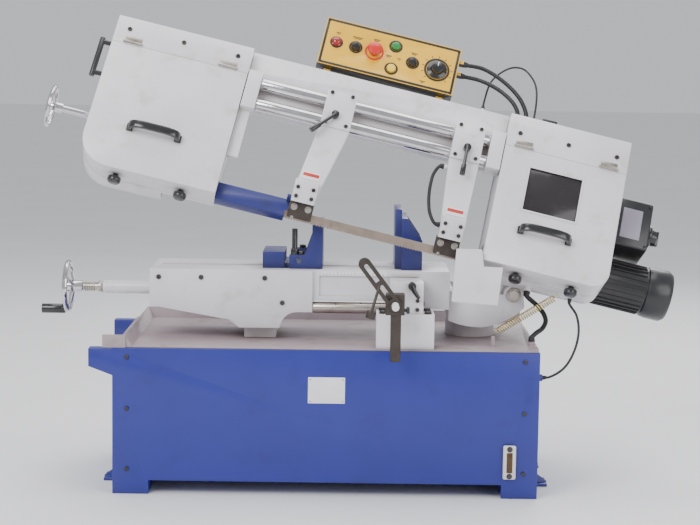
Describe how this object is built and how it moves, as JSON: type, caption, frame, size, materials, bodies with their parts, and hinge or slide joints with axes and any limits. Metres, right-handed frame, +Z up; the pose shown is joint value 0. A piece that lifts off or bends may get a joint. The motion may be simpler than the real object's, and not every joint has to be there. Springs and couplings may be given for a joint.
{
  "type": "horizontal band saw",
  "caption": "Horizontal metal-cutting band saw with a raised canted bow, blade guides, screw vise, wheel covers, control box and coolant cabinet.",
  "frame": {"origin": "on the floor under the middle of the machine, leads left out", "axes": "+X along the blade towards the drive end, +Y to the back, +Z up"},
  "size_m": [1.8376, 0.7, 1.3314],
  "materials": {
    "paint_blue": "semi-gloss royal blue enamel",
    "paint_grey": "semi-gloss light grey enamel",
    "paint_tray": "worn pinkish grey paint",
    "paint_black": "semi-gloss black enamel",
    "plastic_black": "moulded black plastic",
    "plastic_yellow": "yellow control panel",
    "plastic_red": "red button",
    "plastic_green": "green button",
    "chrome": "polished hard chrome",
    "steel": "ground steel",
    "cast_iron": "dark machined iron",
    "zinc": "yellow zinc plated spring steel",
    "rubber_black": "black cable sheath"
  },
  "bodies": {
    "frame": {"base_cabinet": "paint_blue", "chip_tray": "paint_tray", "coolant_pump": "cast_iron", "bed": "paint_grey", "bed_post": "paint_grey", "tie_bar": "steel", "fixed_jaw": "paint_blue", "hinge_base": "paint_grey", "pivot_shaft": "steel", "balance_spring": "zinc", "head_conduit": "rubber_black", "side_lead": "rubber_black"},
    "bow": {"bow_frame": "paint_grey", "idler_housing": "paint_grey", "drive_housing": "paint_grey", "guide_bar_upper": "chrome", "guide_bar_lower": "chrome", "blade": "steel", "gearbox": "paint_black", "motor": "paint_black", "junction_box": "plastic_black", "control_box": "plastic_yellow", "lift_handle": "paint_black", "control_cable_upper": "rubber_black", "control_cable_lower": "rubber_black", "sensor_lead": "rubber_black"},
    "drive_pulley": {"drive_wheel": "cast_iron"},
    "idler_slide": {"idler_carriage": "steel"},
    "idler_pulley": {"idler_wheel": "cast_iron"},
    "tension_screw": {"tension_handwheel": "chrome"},
    "vise_spindle": {"vise_screw": "steel", "vise_handwheel": "chrome"},
    "crank_grip": {"vise_crank_grip": "plastic_black"},
    "jaw": {"movable_jaw": "paint_blue"},
    "jaw_lever": {"jaw_clamp_lever": "plastic_black"},
    "stop_carrier": {"stop_block": "cast_iron"},
    "stop_finger": {"stop_arm": "cast_iron"},
    "left_door": {"idler_cover": "paint_grey", "idler_cover_handle": "plastic_black"},
    "right_door": {"drive_cover": "paint_grey", "drive_cover_handle": "plastic_black"},
    "left_door_knob_a": {"idler_knob_left": "plastic_black"},
    "left_door_knob_b": {"idler_knob_right": "plastic_black"},
    "right_door_knob_a": {"drive_knob_left": "plastic_black"},
    "right_door_knob_b": {"drive_knob_right": "plastic_black"},
    "left_guide": {"guide_arm_left": "paint_grey", "guide_block_left": "cast_iron", "blade_guard": "paint_blue"},
    "right_guide": {"guide_arm_right": "paint_grey", "guide_block_right": "cast_iron", "coolant_hose": "rubber_black"},
    "left_guide_lever": {"guide_lever_left": "plastic_black"},
    "right_guide_lever": {"guide_lever_right": "plastic_black"},
    "stop_mushroom": {"emergency_stop": "plastic_red"},
    "start_push": {"start_button": "plastic_green"},
    "feed_push": {"feed_button": "plastic_yellow"},
    "selector": {"selector_switch": "plastic_black"},
    "pump_selector": {"pump_switch": "plastic_black"},
    "dial": {"speed_dial": "plastic_black"},
    "isolator": {"main_switch": "plastic_black"}
  },
  "joints": [
    {"name": "head_lift", "type": "hinge", "parent": "frame", "child": "bow", "pos_m": [0.44317, 0.07, 0.546], "axis": [0, 1, 0], "range_deg": [-13.2, 28], "deforming": ["balance_spring", "head_conduit", "side_lead"]},
    {"name": "drive_spin", "type": "hinge", "parent": "bow", "child": "drive_pulley", "pos_m": [0.54626, -0.01, 0.74905], "axis": [-0.1142, 0.866, -0.4868], "continuous": true},
    {"name": "tension_turn", "type": "hinge", "parent": "bow", "child": "tension_screw", "pos_m": [-0.88314, 0.02464, 1.06377], "axis": [0.9736, 0, -0.2284], "range_deg": [0, 1800]},
    {"name": "idler_tension", "type": "slide", "parent": "bow", "child": "idler_slide", "axis": [0.9736, 0, -0.2284], "range_m": [0, 0.015]},
    {"name": "idler_spin", "type": "hinge", "parent": "idler_slide", "child": "idler_pulley", "pos_m": [-0.56362, -0.01, 1.00937], "axis": [-0.1142, 0.866, -0.4868], "continuous": true},
    {"name": "vise_turn", "type": "hinge", "parent": "frame", "child": "vise_spindle", "pos_m": [-0.84083, 0.05, 0.543], "axis": [1, 0, 0], "range_deg": [-7400, 9000]},
    {"name": "jaw_slide", "type": "slide", "parent": "frame", "child": "jaw", "axis": [1, 0, 0], "range_m": [-0.1645, 0.201]},
    {"name": "crank_grip_spin", "type": "hinge", "parent": "vise_spindle", "child": "crank_grip", "pos_m": [-0.88283, 0.05, 0.477], "axis": [1, 0, 0], "continuous": true},
    {"name": "jaw_lever_turn", "type": "hinge", "parent": "jaw", "child": "jaw_lever", "pos_m": [-0.18283, -0.029, 0.6536], "axis": [0, 0, 1], "range_deg": [0, 120]},
    {"name": "stop_slide", "type": "slide", "parent": "frame", "child": "stop_carrier", "axis": [0, 1, 0], "range_m": [-0.036, 0.045]},
    {"name": "stop_swing", "type": "hinge", "parent": "stop_carrier", "child": "stop_finger", "pos_m": [0.09917, -0.305, 0.548], "axis": [0, 1, 0], "range_deg": [-40, 70]},
    {"name": "left_door_open", "type": "hinge", "parent": "bow", "child": "left_door", "pos_m": [-0.51681, 0.03098, 1.20893], "axis": [-0.9736, 0, 0.2284], "range_deg": [0, 100]},
    {"name": "right_door_open", "type": "hinge", "parent": "bow", "child": "right_door", "pos_m": [0.58912, 0.02098, 0.93174], "axis": [-0.9736, 0, 0.2284], "range_deg": [0, 100]},
    {"name": "left_door_knob_a_turn", "type": "hinge", "parent": "left_door", "child": "left_door_knob_a", "pos_m": [-0.68, -0.12752, 0.88101], "axis": [-0.1978, -0.5, -0.8431], "range_deg": [0, 90]},
    {"name": "left_door_knob_b_turn", "type": "hinge", "parent": "left_door", "child": "left_door_knob_b", "pos_m": [-0.49794, -0.12752, 0.83831], "axis": [-0.1978, -0.5, -0.8431], "range_deg": [0, 90]},
    {"name": "right_door_knob_a_turn", "type": "hinge", "parent": "right_door", "child": "right_door_knob_a", "pos_m": [0.43961, -0.12752, 0.61841], "axis": [-0.1978, -0.5, -0.8431], "range_deg": [0, 90]},
    {"name": "right_door_knob_b_turn", "type": "hinge", "parent": "right_door", "child": "right_door_knob_b", "pos_m": [0.59539, -0.12752, 0.58187], "axis": [-0.1978, -0.5, -0.8431], "range_deg": [0, 90]},
    {"name": "left_guide_slide", "type": "slide", "parent": "bow", "child": "left_guide", "axis": [0.9736, 0, -0.2284], "range_m": [-0.02, 0.17]},
    {"name": "right_guide_slide", "type": "slide", "parent": "bow", "child": "right_guide", "axis": [0.9736, 0, -0.2284], "range_m": [-0.05, 0.01]},
    {"name": "left_guide_lever_turn", "type": "hinge", "parent": "left_guide", "child": "left_guide_lever", "pos_m": [-0.07217, -0.01428, 1.05082], "axis": [0.1142, -0.866, 0.4868], "range_deg": [-45, 45]},
    {"name": "right_guide_lever_turn", "type": "hinge", "parent": "right_guide", "child": "right_guide_lever", "pos_m": [0.30364, -0.01428, 0.96268], "axis": [0.1142, -0.866, 0.4868], "range_deg": [-45, 45]},
    {"name": "emergency_stop_press", "type": "slide", "parent": "bow", "child": "stop_mushroom", "axis": [-0.1142, 0.866, -0.4868], "range_m": [0, 0.004]},
    {"name": "start_press", "type": "slide", "parent": "bow", "child": "start_push", "axis": [-0.1142, 0.866, -0.4868], "range_m": [0, 0.003], "stiffness_N_per_m": 400},
    {"name": "feed_press", "type": "slide", "parent": "bow", "child": "feed_push", "axis": [-0.1142, 0.866, -0.4868], "range_m": [0, 0.003], "stiffness_N_per_m": 400},
    {"name": "selector_turn", "type": "hinge", "parent": "bow", "child": "selector", "pos_m": [-0.01687, 0.17018, 1.24277], "axis": [0.1142, -0.866, 0.4868], "range_deg": [-45, 45]},
    {"name": "pump_switch_turn", "type": "hinge", "parent": "bow", "child": "pump_selector", "pos_m": [0.14959, 0.16768, 1.19927], "axis": [0.1142, -0.866, 0.4868], "range_deg": [0, 90]},
    {"name": "speed_dial_turn", "type": "hinge", "parent": "bow", "child": "dial", "pos_m": [0.22104, 0.16618, 1.17985], "axis": [0.1142, -0.866, 0.4868], "range_deg": [0, 270]},
    {"name": "isolator_turn", "type": "hinge", "parent": "bow", "child": "isolator", "pos_m": [0.83838, 0.09578, 0.70438], "axis": [0.9736, 0, -0.2284], "range_deg": [0, 90]}
  ],
  "couplings": [
    {"joint": "idler_spin", "follows": "drive_spin", "ratio": 1},
    {"joint": "tension_turn", "follows": "idler_tension", "rad_per_m": 2094.4},
    {"joint": "jaw_slide", "follows": "vise_turn", "m_per_rad": 0.0012732}
  ]
}
